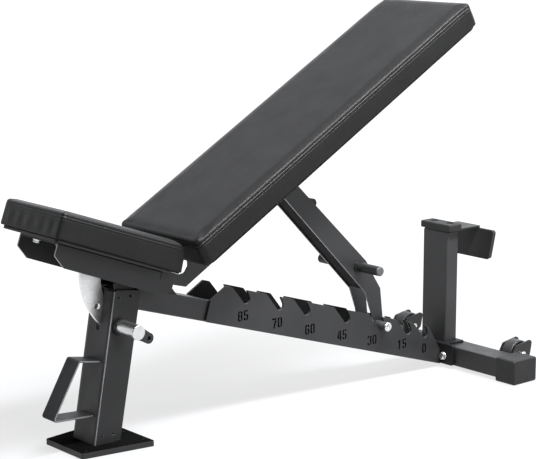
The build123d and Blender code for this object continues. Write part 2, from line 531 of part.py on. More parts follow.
put("strut_handle_plugs", *plugs)
put("strut_handle_collars", *collars)
put("strut_rollers", *rollers)
put("strut_pin_heads", *heads)
cross = ycyl(QX, QZ, PIN_R, -63, 63) + ycyl(QX, QZ, PIN_R - 1.2, -68, 68)
put("strut_pin", cross)
put("strut_bumper", ycyl(715.6, 478.9, 12, -26, 26))
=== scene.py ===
import json
from math import sin, cos, tan, radians, pi, hypot, sqrt, exp, atan
import bpy
import bmesh
import numpy as np
from mathutils import Vector, Matrix


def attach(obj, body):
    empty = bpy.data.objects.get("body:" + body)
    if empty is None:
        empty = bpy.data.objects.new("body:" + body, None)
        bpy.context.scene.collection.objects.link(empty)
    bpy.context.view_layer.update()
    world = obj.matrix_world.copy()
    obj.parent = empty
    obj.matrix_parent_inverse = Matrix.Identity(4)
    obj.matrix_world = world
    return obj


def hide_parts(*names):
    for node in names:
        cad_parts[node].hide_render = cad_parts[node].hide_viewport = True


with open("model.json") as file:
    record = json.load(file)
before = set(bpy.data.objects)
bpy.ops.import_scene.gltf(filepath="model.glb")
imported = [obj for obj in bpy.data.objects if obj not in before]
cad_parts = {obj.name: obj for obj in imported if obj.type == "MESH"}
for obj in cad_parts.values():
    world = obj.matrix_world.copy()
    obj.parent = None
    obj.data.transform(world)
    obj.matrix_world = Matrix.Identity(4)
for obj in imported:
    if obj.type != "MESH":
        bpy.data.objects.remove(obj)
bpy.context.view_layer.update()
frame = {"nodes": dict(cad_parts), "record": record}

nodes = frame["nodes"]
scene = bpy.context.scene
coll = scene.collection

# ------------------------------------------------------------ shared numbers
# The hinge both cushions turn on, and the cushions' own frames, in metres:
# u along the cushion, y across it, n out of its face.
HINGE = Vector((0.142, 0.0, 0.381))
SEAT_A = radians(20.2)
BACK_A = radians(-30.0)
SEAT_M = Matrix.Translation(HINGE) @ Matrix.Rotation(SEAT_A, 4, "Y")
BACK_M = Matrix.Translation(HINGE) @ Matrix.Rotation(BACK_A, 4, "Y")


# ----------------------------------------------------------------- materials
class Mat:
    """A node material with a Principled shader and small helpers."""

    def __init__(self, name):
        self.m = bpy.data.materials.new(name)
        self.m.use_nodes = True
        self.nt = self.m.node_tree
        self.b = self.nt.nodes["Principled BSDF"]
        self.co = self.nt.nodes.new("ShaderNodeTexCoord").outputs["Object"]

    def node(self, kind, **kw):
        n = self.nt.nodes.new(kind)
        for k, v in kw.items():
            setattr(n, k, v)
        return n

    def link(self, a, b):
        self.nt.links.new(a, b)

    def mapped(self, scale, rot=(0, 0, 0)):
        mp = self.node("ShaderNodeMapping")
        mp.inputs["Scale"].default_value = scale
        mp.inputs["Rotation"].default_value = rot
        self.link(self.co, mp.inputs["Vector"])
        return mp.outputs["Vector"]

    def noise(self, scale, detail=4.0, rough=0.55, vec=None, distortion=0.0):
        n = self.node("ShaderNodeTexNoise")
        n.inputs["Scale"].default_value = scale
        n.inputs["Detail"].default_value = detail
        n.inputs["Roughness"].default_value = rough
        n.inputs["Distortion"].default_value = distortion
        self.link(vec or self.co, n.inputs["Vector"])
        return n.outputs["Fac"]

    def voronoi(self, scale, feature="F1", vec=None):
        n = self.node("ShaderNodeTexVoronoi", feature=feature)
        n.inputs["Scale"].default_value = scale
        self.link(vec or self.co, n.inputs["Vector"])
        return n.outputs["Distance"]

    def ramp(self, fac, stops):
        r = self.node("ShaderNodeValToRGB")
        els = r.color_ramp.elements
        while len(els) < len(stops):
            els.new(0.5)
        for e, (p, c) in zip(els, stops):
            e.position = p
            e.color = (c * 0.985, c, c * 1.05, 1) if not isinstance(c, tuple) else (*c, 1)
        self.link(fac, r.inputs["Fac"])
        return r.outputs["Color"]

    def range(self, fac, lo, hi, a=0.3, b=0.7):
        n = self.node("ShaderNodeMapRange")
        n.inputs["From Min"].default_value = a
        n.inputs["From Max"].default_value = b
        n.inputs["To Min"].default_value = lo
        n.inputs["To Max"].default_value = hi
        self.link(fac, n.inputs["Value"])
        return n.outputs["Result"]

    def math(self, op, a, b=None):
        n = self.node("ShaderNodeMath", operation=op)
        for i, v in enumerate((a, b)):
            if v is None:
                continue
            if isinstance(v, (int, float)):
                n.inputs[i].default_value = v
            else:
                self.link(v, n.inputs[i])
        return n.outputs[0]

    def mix(self, fac, a, b, blend="MIX"):
        n = self.node("ShaderNodeMix", data_type="RGBA", blend_type=blend)
        self.link(fac, n.inputs["Factor"])
        for key, v in (("A", a), ("B", b)):
            s = [i for i in n.inputs if i.name == key and i.type == "RGBA"][0]
            if isinstance(v, tuple):
                s.default_value = (*v, 1)
            else:
                self.link(v, s)
        return [o for o in n.outputs if o.type == "RGBA"][0]

    def bump(self, height, strength, distance, normal=None):
        n = self.node("ShaderNodeBump")
        n.inputs["Strength"].default_value = strength
        n.inputs["Distance"].default_value = distance
        self.link(height, n.inputs["Height"])
        if normal is not None:
            self.link(normal, n.inputs["Normal"])
        return n.outputs["Normal"]

    def edge(self, radius, gain):
        """0 on flats, towards 1 along sharp edges."""
        bv = self.node("ShaderNodeBevel", samples=6)
        bv.inputs["Radius"].default_value = radius
        geo = self.node("ShaderNodeNewGeometry")
        dot = self.node("ShaderNodeVectorMath", operation="DOT_PRODUCT")
        self.link(bv.outputs["Normal"], dot.inputs[0])
        self.link(geo.outputs["Normal"], dot.inputs[1])
        inv = self.math("SUBTRACT", 1.0, dot.outputs["Value"])
        n = self.math("MULTIPLY", inv, gain)
        n2 = self.node("ShaderNodeClamp")
        self.link(n, n2.inputs["Value"])
        return n2.outputs["Result"]


def coat(name, dark, light, rough, edge_wear_highlight=0.10, spec=0.36, shade_from_x=None, ior=1.5):
    """Powder coat: fine orange peel, faint dust mottling, and edges lightened partly as rubbed wear and partly as a
    painted highlight. Past the x limit given, the surface is painted near black and metallic: painted shade where it
    lies behind a welded-on plate."""
    m = Mat(name)
    m.b.inputs["Specular IOR Level"].default_value = spec
    m.b.inputs["IOR"].default_value = ior
    dust = m.noise(9.0, 5.0, 0.6)
    speck = m.noise(900.0, 2.0, 0.5)
    base = m.ramp(dust, [(0.32, dark), (0.70, light)])
    # edges lightened: partly rubbed wear, partly a painted highlight on the edges that catch the light
    wear = m.edge(0.0011, 2.6)
    patch = m.range(m.noise(55.0, 4.0, 0.6), 0.25, 1.0, 0.35, 0.65)
    wear = m.math("MULTIPLY", wear, patch)
    base = m.mix(wear, base, (edge_wear_highlight, edge_wear_highlight, edge_wear_highlight * 1.02))
    # painted shade: past the x limit the coat turns near black and metallic, standing in for the shade behind the
    # welded-on ladder plates
    if shade_from_x is not None:
        sep = m.node("ShaderNodeSeparateXYZ")
        m.link(m.co, sep.inputs[0])
        painted_shade = m.range(sep.outputs["X"], 0.0, 1.0, shade_from_x, shade_from_x + 0.004)
        base = m.mix(painted_shade, base, (0.0022, 0.0022, 0.0023))
        m.link(painted_shade, m.b.inputs["Metallic"])
    m.link(base, m.b.inputs["Base Color"])
    r = m.range(m.noise(30.0, 4.0, 0.6), rough - 0.05, rough + 0.07)
    r = m.math("ADD", r, m.math("MULTIPLY", m.math("SUBTRACT", speck, 0.5), 0.10))
    m.link(r, m.b.inputs["Roughness"])
    peel = m.noise(420.0, 3.0, 0.55)
    m.link(m.bump(peel, 0.22, 0.0004), m.b.inputs["Normal"])
    return m.m


def leatherette(name, dark, light, rough, spec=0.215):
    """Matt coated upholstery: pebbled grain, faint clouding."""
    m = Mat(name)
    m.b.inputs["Specular IOR Level"].default_value = spec
    cloud = m.noise(6.0, 5.0, 0.62, distortion=0.4)
    fine = m.noise(60.0, 3.0, 0.6)
    base = m.ramp(cloud, [(0.30, dark), (0.72, light)])
    tone = m.range(fine, 0.88, 1.10, 0.3, 0.7)
    hsv = m.node("ShaderNodeHueSaturation")
    m.link(tone, hsv.inputs["Value"])
    m.link(base, hsv.inputs["Color"])
    m.link(hsv.outputs["Color"], m.b.inputs["Base Color"])
    r = m.range(m.noise(14.0, 4.0, 0.6), rough - 0.05, rough + 0.05)
    m.link(r, m.b.inputs["Roughness"])
    warp = m.node("ShaderNodeVectorMath", operation="ADD")
    wn = m.node("ShaderNodeTexNoise")
    wn.inputs["Scale"].default_value = 180.0
    m.link(m.co, wn.inputs["Vector"])
    sc = m.node("ShaderNodeVectorMath", operation="SCALE")
    sc.inputs["Scale"].default_value = 0.0016
    m.link(wn.outputs["Color"], sc.inputs[0])
    m.link(m.co, warp.inputs[0])
    m.link(sc.outputs["Vector"], warp.inputs[1])
    grain = m.voronoi(640.0, "DISTANCE_TO_EDGE", warp.outputs["Vector"])
    pebble = m.range(grain, 0.0, 1.0, 0.0, 0.22)
    n1 = m.bump(pebble, 0.35, 0.00035)
    n2 = m.bump(m.noise(38.0, 3.0, 0.55), 0.10, 0.002, n1)
    m.link(n2, m.b.inputs["Normal"])
    return m.m


def rubber(name, dark, light, rough):
    """Moulded rubber: dull, lightly textured, greyed on its edges."""
    m = Mat(name)
    m.b.inputs["Specular IOR Level"].default_value = 0.36
    base = m.ramp(m.noise(16.0, 5.0, 0.62), [(0.30, dark), (0.74, light)])
    wear = m.edge(0.0016, 1.6)
    base = m.mix(wear, base, (light * 2.2, light * 2.2, light * 2.2))
    m.link(base, m.b.inputs["Base Color"])
    m.link(m.range(m.noise(45.0, 4.0, 0.6), rough - 0.06, rough + 0.06), m.b.inputs["Roughness"])
    n1 = m.bump(m.noise(520.0, 3.0, 0.6), 0.35, 0.0005)
    m.link(n1, m.b.inputs["Normal"])
    return m.m


def plated(name, dark, light, rough, brush=(1, 1, 1), brush_amt=0.2, tint=(1.0, 1.0, 1.0)):
    """Plated or ground steel, with fine lines along one direction."""
    m = Mat(name)
    lines = m.noise(1.0, 6.0, 0.65, m.mapped(brush))
    blot = m.noise(28.0, 4.0, 0.6)
    base = m.ramp(blot, [(0.28, tuple(dark * t for t in tint)), (0.72, tuple(light * t for t in tint))])
    tone = m.range(lines, 1.0 - brush_amt, 1.0 + brush_amt, 0.3, 0.7)
    hsv = m.node("ShaderNodeHueSaturation")
    m.link(tone, hsv.inputs["Value"])
    m.link(base, hsv.inputs["Color"])
    m.link(hsv.outputs["Color"], m.b.inputs["Base Color"])
    m.b.inputs["Metallic"].default_value = 1.0
    r = m.range(lines, rough - 0.07, rough + 0.09, 0.3, 0.7)
    m.link(r, m.b.inputs["Roughness"])
    m.link(m.bump(lines, 0.12, 0.0003), m.b.inputs["Normal"])
    return m.m


def moulded(name, dark, light, rough):
    """Moulded plastic with a fine spark-eroded texture."""
    m = Mat(name)
    m.link(m.ramp(m.noise(22.0, 4.0, 0.6), [(0.3, dark), (0.7, light)]), m.b.inputs["Base Color"])
    m.link(m.range(m.noise(70.0, 4.0, 0.6), rough - 0.05, rough + 0.06), m.b.inputs["Roughness"])
    m.link(m.bump(m.noise(1100.0, 2.0, 0.5), 0.25, 0.0003), m.b.inputs["Normal"])
    return m.m


# the fifth value of a coat, where given, is how light its edges are painted: partly rubbed wear, partly painted
# highlight
COAT = coat("coat_black", 0.017, 0.023, 0.41)
PLATE = coat("coat_plate", 0.0155, 0.021, 0.41, 0.14)
# the spine is painted near-black shade past x = 0.292, where it lies behind the ladder plates
SPINE = coat("coat_spine_painted_shade_behind_ladder", 0.020, 0.026, 0.41, shade_from_x=0.292)
LADDER = coat("coat_ladder", 0.0150, 0.0205, 0.41, 0.028)
SHADE = coat("coat_shade", 0.009, 0.0135, 0.44, 0.09)
# painted highlight: a light grey coat for the handle's cut edges
CUT_EDGE_HIGHLIGHT = coat("coat_cut_edge_painted_highlight", 0.10, 0.15, 0.38, 0.26)
# painted highlight: a near-white coat for front edges that catch the light
BRIGHT_EDGE_HIGHLIGHT = coat("coat_painted_edge_highlight", 0.30, 0.40, 0.34, 0.45)
# painted shade: a near-black, dull coat for faces that sit in deep shade
NEAR_BLACK_SHADE = coat("coat_painted_deep_shade", 0.0025, 0.0045, 0.62, 0.012, 0.10)
# painted shade: a near-black coat with almost no reflection for the foot plate's top
FOOT_TOP_SHADE = coat("coat_foot_top_painted_shade", 0.002, 0.0035, 0.72, 0.05, 0.06, ior=1.08)
# painted shade: a darker coat for faces that face into shade
INNER_SHADE = coat("coat_inner_painted_shade", 0.005, 0.009, 0.52, 0.05, 0.17)
# painted shade: a darker copy of the black coat for the post side plates
POST_SIDE_SHADE = coat("coat_post_side_painted_shade", 0.010, 0.014, 0.45, 0.10, 0.31)
# painted shade: a darker, less glossy copy of the black coat for the front handle
HANDLE_SHADE = coat("coat_handle_painted_shade", 0.008, 0.012, 0.50, 0.09, 0.20)
PAD = leatherette("pad_leatherette", 0.0034, 0.0054, 0.43)
THREAD = moulded("pad_thread", 0.005, 0.009, 0.70)
THREAD.node_tree.nodes["Principled BSDF"].inputs["Specular IOR Level"].default_value = 0.14
BOARD = moulded("board_black", 0.003, 0.005, 0.75)
RUBBER = rubber("rubber_black", 0.007, 0.011, 0.60)
ZINC = plated("zinc_plate", 0.74, 0.92, 0.28, (400, 400, 400), 0.10, (1.0, 1.0, 0.985))
SECTOR = plated("sector_steel", 0.80, 0.95, 0.38, (40, 40, 900), 0.16)
KNOB = plated("knob_steel", 0.62, 0.80, 0.26, (60, 900, 60), 0.10)
DARK = coat("dark_steel", 0.006, 0.011, 0.40, 0.06)
OLIVE = moulded("spacer_bronze", 0.026, 0.040, 0.5)
PLUG = moulded("plug_grey", 0.050, 0.070, 0.5)
WHEEL = moulded("wheel_black", 0.014, 0.022, 0.45)

BY_SLOT = {"black_coat": COAT, "board": BOARD, "rubber": RUBBER, "zinc": ZINC, "bright_steel": SECTOR,
           "bright_knob": KNOB, "dark_steel": DARK, "olive_spacer": OLIVE, "grey_plug": PLUG,
           "wheel_plastic": WHEEL, "pad_cover": PAD}
BY_NODE = {"foot_plate": SHADE, "hinge_shaft": PLATE, "front_handle": HANDLE_SHADE, "spine_tube": SPINE, "stabilizer_tube": SHADE, "storage_pad": SHADE}
for name in ("ladder_plate_near", "ladder_plate_far", "seat_channel",
             "strut_channel", "hinge_plate_near", "hinge_plate_far", "back_frame",
             "wheel_ear_near_inner", "wheel_ear_near_outer", "wheel_ear_far_inner", "wheel_ear_far_outer"):
    BY_NODE[name] = PLATE
BY_NODE["ladder_plate_near"] = BY_NODE["ladder_plate_far"] = LADDER
# painted shade: the rear bracket's front side is coated darker
BY_NODE["rear_bracket"] = INNER_SHADE
for name in ("wheel_ear_near_inner", "wheel_ear_near_outer", "wheel_ear_far_inner", "wheel_ear_far_outer", "strut_handle_bar"):
    BY_NODE[name] = SHADE
# the post side plates get the painted-shade copy of the coat
BY_NODE["post_side_plate_near"] = BY_NODE["post_side_plate_far"] = POST_SIDE_SHADE
for name in ("storage_bracket", "hinge_plate_near", "hinge_plate_far", "lock_arm"):
    BY_NODE[name] = SHADE
slot_of = {s["node"]: s["material_slot"] for s in frame["record"]["subparts"]}
for name, ob in nodes.items():
    ob.data.materials.clear()
    ob.data.materials.append(BY_NODE.get(name, BY_SLOT[slot_of[name]]))

# Single faces given another coat: the light coats on cut edges that face the front are painted highlights, and the
# near-black coats are painted shade.
def cut_faces(name, material, test):
    me = nodes[name].data
    me.materials.append(material)
    for p in me.polygons:
        if test(p.normal, p.center):
            p.material_index = len(me.materials) - 1


# painted shade: the top of the foot plate, under the seat, is coated near black
cut_faces("foot_plate", FOOT_TOP_SHADE, lambda n, c: n.z > 0.9)
# painted shade: the inner face of the far ladder plate, seen through the notches, is coated darker
cut_faces("ladder_plate_far", INNER_SHADE, lambda n, c: n.y < -0.9)
# painted highlight: the front edge of the near post side plate
cut_faces("post_side_plate_near", BRIGHT_EDGE_HIGHLIGHT, lambda n, c: n.x < -0.9)
cut_faces("post_side_plate_far", PLATE, lambda n, c: n.x < -0.9)
# painted highlight: the front edges of the strut's side plates
cut_faces("strut_channel", BRIGHT_EDGE_HIGHLIGHT, lambda n, c: abs(n.y) < 0.1 and abs(c.y) > 0.0262 and n.x < -0.5 and n.z < -0.3)
# painted shade: the strut's front web is coated near black
cut_faces("strut_channel", NEAR_BLACK_SHADE, lambda n, c: abs(n.y) < 0.1 and abs(c.y) < 0.0262 and n.x < -0.5 and n.z < -0.3)
# painted highlight: the front chamfer edges of the seat flanges
cut_faces("seat_channel", BRIGHT_EDGE_HIGHLIGHT, lambda n, c: abs(n.y) < 0.1 and abs(c.y) > 0.0702 and n.x < -0.3 and c.x < 0.0)
# the walls of the numbers cut through the near ladder plate are in deep shade
NUMBERS = ((0.391, 0.243), (0.497, 0.209), (0.603, 0.176), (0.710, 0.143), (0.814, 0.113), (0.921, 0.084), (1.003, 0.059))
cut_faces("ladder_plate_near", NEAR_BLACK_SHADE, lambda n, c: abs(n.y) < 0.5 and any(
    abs(c.x - x) < 0.0175 and abs(c.z - z) < 0.0135 for x, z in NUMBERS))
# painted highlight: the near cut edges of the front handle are coated light grey
cut_faces("front_handle", CUT_EDGE_HIGHLIGHT, lambda n, c: n.y < -0.9)

# Real edges on the sheet metal and castings: a small radius that catches light.
EDGE = {"black_coat": 0.0007, "bright_steel": 0.0006, "dark_steel": 0.0005, "rubber": 0.0008}
for name, ob in nodes.items():
    for p in ob.data.polygons:
        p.use_smooth = True
    w = ob.modifiers.new("weld", "WELD")
    w.merge_threshold = 1e-6
    if slot_of[name] in EDGE:
        bv = ob.modifiers.new("edge", "BEVEL")
        bv.width = 0.0002 if name == "ladder_plate_near" else EDGE[slot_of[name]]
        bv.segments = 2
        bv.limit_method = "ANGLE"
        bv.angle_limit = radians(40)
        bv.use_clamp_overlap = True
        bv.harden_normals = False
    wn = ob.modifiers.new("normals", "WEIGHTED_NORMAL")
    wn.keep_sharp = False
    wn.weight = 60


# -------------------------------------------------------------------- pads
def pad_lines(a, b, fine, step):
    """Grid positions from a to b, close together near both ends."""
    offs = [o for o in fine if o < (b - a) / 2 - step * 0.4]
    lo, hi = a + offs[-1], b - offs[-1]
    n = max(1, int(round((hi - lo) / step)))
    mid = [lo + (hi - lo) * k / n for k in range(1, n)]
    return [a + o for o in offs] + mid + [b - o for o in reversed(offs)]


def build_pad(name, u0, u1, hw, n0, n1, r_plan0, r_plan1, r_top, r_bot, levels, step):
    """Closed cushion grid. Returns the object (in its own u, y, n frame) and
    the vertex numbers of every level's closed ring."""
    fine = [0.0, 0.0022, 0.0048, 0.0080, 0.0118, 0.0165, 0.0225, 0.030, 0.040]
    U = pad_lines(u0, u1, fine, step)
    Y = pad_lines(-hw, hw, fine, step)
    N = levels
    nu, ny, nn = len(U), len(Y), len(N)

    def arc(d, r):
        """Inset of a face point at distance d from its edge."""
        if d >= r:
            return d
        f = radians(90 - 45 * (1 - d / r))
        return r * (1 - cos(f))

    def place(iu, iy, k):
        u, y, n = U[iu], Y[iy], N[k]
        du = min(u - u0, u1 - u)
        dy = hw - abs(y)
        top, bot = k == nn - 1, k == 0
        if top or bot:
            r = r_top if top else r_bot
            d = min(du, dy)
            f = radians(90 - 45 * (1 - d / r)) if d < r else radians(90)
            h = (n1 - r * (1 - sin(f))) if top else (n0 + r * (1 - sin(f)))
            iu_, iy_ = arc(du, r), arc(dy, r)
        else:
            ins = 0.0
            h = n
            if n1 - n < r_top:
                f = radians(45 * (1 - (n1 - n) / r_top))
                ins, h = r_top * (1 - cos(f)), n1 - r_top + r_top * sin(f)
            elif n - n0 < r_bot:
                f = radians(45 * (1 - (n - n0) / r_bot))
                ins, h = r_bot * (1 - cos(f)), n0 + r_bot - r_bot * sin(f)
            iu_ = max(du, ins) if du > ins else ins
            iy_ = max(dy, ins) if dy > ins else ins
        uu = u0 + iu_ if u - u0 < u1 - u else u1 - iu_
        yy = (hw - iy_) * (1 if y > 0 else -1) if y != 0 else 0.0
        # rounded corners seen from above
        R = r_plan0 if u - u0 < u1 - u else r_plan1
        qu = min(max(uu, u0 + R), u1 - R)
        qy = min(max(yy, -hw + R), hw - R)
        vu, vy = uu - qu, yy - qy
        if abs(vu) > 1e-9 and abs(vy) > 1e-9:
            t = max(abs(vu), abs(vy))
            ln = hypot(vu, vy)
            uu, yy = qu + vu / ln * t, qy + vy / ln * t
        return uu, yy, h

    index, verts = {}, []

    def vid(iu, iy, k):
        key = (iu, iy, k)
        if key not in index:
            index[key] = len(verts)
            verts.append(place(iu, iy, k))
        return index[key]

    faces = []
    for iu in range(nu - 1):
        for iy in range(ny - 1):
            faces.append((vid(iu, iy, nn - 1), vid(iu + 1, iy, nn - 1), vid(iu + 1, iy + 1, nn - 1), vid(iu, iy + 1, nn - 1)))
            faces.append((vid(iu, iy, 0), vid(iu, iy + 1, 0), vid(iu + 1, iy + 1, 0), vid(iu + 1, iy, 0)))
    for k in range(nn - 1):
        for iu in range(nu - 1):
            faces.append((vid(iu, 0, k), vid(iu + 1, 0, k), vid(iu + 1, 0, k + 1), vid(iu, 0, k + 1)))
            faces.append((vid(iu, ny - 1, k), vid(iu, ny - 1, k + 1), vid(iu + 1, ny - 1, k + 1), vid(iu + 1, ny - 1, k)))
        for iy in range(ny - 1):
            faces.append((vid(0, iy, k), vid(0, iy, k + 1), vid(0, iy + 1, k + 1), vid(0, iy + 1, k)))
            faces.append((vid(nu - 1, iy, k), vid(nu - 1, iy + 1, k), vid(nu - 1, iy + 1, k + 1), vid(nu - 1, iy, k + 1)))
    me = bpy.data.meshes.new(name)
    me.from_pydata(verts, [], faces)
    me.update()
    ob = bpy.data.objects.new(name, me)
    coll.objects.link(ob)
    rings = []
    for k in range(nn):
        ring = [(iu, 0) for iu in range(nu)] + [(nu - 1, iy) for iy in range(1, ny)]
        ring += [(iu, ny - 1) for iu in range(nu - 2, -1, -1)] + [(0, iy) for iy in range(ny - 2, 0, -1)]
        rings.append([index[(iu, iy, k)] for iu, iy in ring])
    return ob, rings, index, (nu, ny, nn)


def swell(ob, pinned, pressure, caps):
    """Cloth pressure fills the cover; points move at most caps[i]."""
    me = ob.data
    rest = np.empty(len(me.vertices) * 3)
    me.vertices.foreach_get("co", rest)
    rest = rest.reshape(-1, 3)
    vg = ob.vertex_groups.new(name="pin")
    for i, w in pinned.items():
        vg.add([i], w, "REPLACE")
    mod = ob.modifiers.new("cloth", "CLOTH")
    s = mod.settings
    s.quality = 6
    s.mass = 0.35
    s.tension_stiffness = 25
    s.compression_stiffness = 25
    s.shear_stiffness = 10
    s.bending_stiffness = 2.0
    s.use_pressure = True
    s.uniform_pressure_force = pressure
    s.vertex_group_mass = "pin"
    s.pin_stiffness = 8.0
    s.effector_weights.gravity = 0.0
    mod.collision_settings.use_collision = False
    mod.collision_settings.use_self_collision = False
    mod.point_cache.frame_start = 1
    mod.point_cache.frame_end = 24
    for f in range(1, 21):
        scene.frame_set(f)
    dg = bpy.context.evaluated_depsgraph_get()
    ev = ob.evaluated_get(dg).to_mesh()
    out = np.empty(len(ev.vertices) * 3)
    ev.vertices.foreach_get("co", out)
    ob.evaluated_get(dg).to_mesh_clear()
    out = out.reshape(-1, 3)
    ob.modifiers.remove(mod)
    scene.frame_set(1)
    d = out - rest
    ln = np.linalg.norm(d, axis=1)
    print("SWELL", ob.name, "mean %.2f mm, max %.2f mm" % (ln.mean() * 1000, ln.max() * 1000))
    k = np.minimum(1.0, caps / np.maximum(ln, 1e-9))
    return rest, rest + d * k[:, None]


def set_co(ob, co):
    ob.data.vertices.foreach_set("co", co.reshape(-1))
    ob.data.update()


def stitches(name, ring_pts, ring_nrm, pitch, length, r, lift):
    """One row of thread stitches along a closed line, as small sewn bars."""
    P = np.array(ring_pts + [ring_pts[0]])
    Nn = np.array(ring_nrm + [ring_nrm[0]])
    seg = np.linalg.norm(np.diff(P, axis=0), axis=1)
    s = np.concatenate([[0], np.cumsum(seg)])
    total = s[-1]
    count = int(total / pitch)
    step = total / count

    def at(t):
        t = t % total
        i = min(np.searchsorted(s, t, side="right") - 1, len(seg) - 1)
        f = (t - s[i]) / max(seg[i], 1e-9)
        n = Nn[i] * (1 - f) + Nn[i + 1] * f
        return P[i] * (1 - f) + P[i + 1] * f, n / np.linalg.norm(n)

    verts, faces = [], []
    sides = 6
    for c in range(count):
        base = len(verts)
        prof = [(-0.5, 0.25, -0.9), (-0.36, 0.85, 0.1), (-0.12, 1.0, 0.45), (0.12, 1.0, 0.45), (0.36, 0.85, 0.1), (0.5, 0.25, -0.9)]
        for f, w, up in prof:
            p, n = at(c * step + f * length)
            q, _ = at(c * step + f * length + 1e-4)
            t = (q - p) / np.linalg.norm(q - p)
            b = np.cross(t, n)
            ctr = p + n * (lift + up * r)
            for j in range(sides):
                a = 2 * pi * j / sides
                verts.append(tuple(ctr + (b * cos(a) + n * sin(a)) * r * w))
        for i in range(len(prof) - 1):
            for j in range(sides):
                a, b2 = base + i * sides + j, base + i * sides + (j + 1) % sides
                faces.append((a, b2, b2 + sides, a + sides))
        faces.append(tuple(base + j for j in reversed(range(sides))))
        faces.append(tuple(base + (len(prof) - 1) * sides + j for j in range(sides)))
    me = bpy.data.meshes.new(name)
    me.from_pydata(verts, [], faces)
    for p in me.polygons:
        p.use_smooth = True
    me.update()
    ob = bpy.data.objects.new(name, me)
    coll.objects.link(ob)
    return ob


def finish_pad(ob, world, body, node, material, extra=()):
    ob.data.transform(world)
    ob.data.update()
    for p in ob.data.polygons:
        p.use_smooth = True
    sub = ob.modifiers.new("sub", "SUBSURF")
    sub.levels = sub.render_levels = 1
    ob.data.materials.append(material)
    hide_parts(node)
    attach(ob, body)
    for e in extra:
        e.data.transform(world)
        e.data.materials.append(THREAD)
        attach(e, body)


def vertex_normals(ob):
    out = np.empty(len(ob.data.vertices) * 3)
    ob.data.vertices.foreach_get("normal", out)
    return out.reshape(-1, 3)


def puff(ob, dims, index, shape, seams, top_lift, side_lift, edge):
    """Fill the cover with cloth pressure, held at the base and along the seams."""
    me = ob.data
    co = np.array([v.co for v in me.vertices])
    n0, n1, hw = shape["n0"], shape["n1"], shape["hw"]
    pins = {}
    for (iu, iy, k), i in index.items():
        if k <= 2 or k in seams:
            pins[i] = 1.0
        elif k < dims[2] - 1:
            pins[i] = 0.35
    on_top = co[:, 2] > max(n1 - 0.008, n0)
    caps = np.where(on_top, top_lift, side_lift)
    # the two ends that face each other at the hinge are filled flat
    facing = np.clip((co[:, 0] - shape["u0"]) / 0.03, 0, 1) if shape["u0"] > 0 else np.clip((shape["u1"] - co[:, 0]) / 0.05, 0, 1)
    caps = 0.0001 + caps * facing
    rest, out = swell(ob, pins, 4.0, caps)
    return out
    d = np.minimum(hw - np.abs(co[:, 1]), np.minimum(co[:, 0] - shape["u0"], shape["u1"] - co[:, 0]))
    f = np.clip(d / edge, 0, 1)
    co[:, 2] += np.where(co[:, 2] > n1 - 0.001, top_lift * f * (2 - f), 0)
    return co


def sew(ob, co, rings, seams, proud):
    """Press the seam lines in and let the cover between them stand proud."""
    set_co(ob, co)
    nrm = vertex_normals(ob)
    out = co.copy()
    for k, depth, near in seams:
        for kk, d in ((k, depth), (k - 1, near), (k + 1, near)):
            for i in rings[kk]:
                out[i] -= nrm[i] * d
    for kk, d in proud:
        for i in rings[kk]:
            out[i] += nrm[i] * d
    set_co(ob, out)
    return out, nrm


def levels(s, seam1, seam2, low):
    n0, n1 = s["n0"], s["n1"]
    return ([n0, n0 + 0.0015, n0 + 0.004] + low
            + [seam2 - 0.0045, seam2 - 0.0020, seam2 - 0.0009, seam2, seam2 + 0.0009, seam2 + 0.0022,
               seam1 - 0.0022, seam1 - 0.0009, seam1, seam1 + 0.0009, seam1 + 0.0020,
               n1 - 0.0076, n1 - 0.0052, n1 - 0.0026, n1])


# Back cushion: long and firm, a sewn band under its upper edge.
B = dict(u0=0.0680, u1=1.0636, hw=0.1492, n0=-0.0109, n1=0.0562)
SEAM1, SEAM2 = B["n1"] - 0.0118, B["n1"] - 0.0192
blev = levels(B, SEAM1, SEAM2, [B["n0"] + 0.010, B["n0"] + 0.018, B["n0"] + 0.027, B["n0"] + 0.036])
back, brings, bindex, bdim = build_pad("back_cushion", B["u0"], B["u1"], B["hw"], B["n0"], B["n1"],
                                       0.016, 0.013, 0.0092, 0.0030, blev, 0.0125)
K1, K2 = blev.index(SEAM1), blev.index(SEAM2)
co = puff(back, bdim, bindex, B, (K1, K2), 0.0024, 0.0016, 0.05)
# the side below the band is full in the middle and draws in to the board
low = np.clip((co[:, 2] - B["n0"]) / (SEAM2 - B["n0"]), 0, 1)
out = np.where(co[:, 2] < SEAM2, 0.0014 * np.sin(pi * low) - 0.0010 * (1 - low) ** 2, 0.0)
edge_y = np.clip((np.abs(co[:, 1]) - (B["hw"] - 0.012)) / 0.012, 0, 1)
co[:, 1] += np.sign(co[:, 1]) * out * edge_y
co2, nrm = sew(back, co, brings, ((K1, 0.0017, 0.0003), (K2, 0.0010, 0.0002)),
               ((K1 - 2, 0.0008), (K2 + 2, 0.0008), (K1 + 2, 0.0004), (K2 - 2, 0.0003)))
# the upper end is drawn down a little over the last hand's breadth
over = np.clip((co2[:, 0] - (B["u1"] - 0.06)) / 0.06, 0, 1)
h = np.clip((co2[:, 2] - B["n0"]) / (B["n1"] - B["n0"]), 0, 1)
co2[:, 2] -= 0.0045 * h * over ** 2
set_co(back, co2)
rows = []
for tag, k in (("upper", K1), ("lower", K2)):
    pts = [co2[i] for i in brings[k]]
    nn_ = [nrm[i] for i in brings[k]]
    rows.append(stitches("back_stitch_" + tag, pts, nn_, 0.0052, 0.0038, 0.00042, 0.0004))
finish_pad(back, BACK_M, "back", "back_pad", PAD, rows)

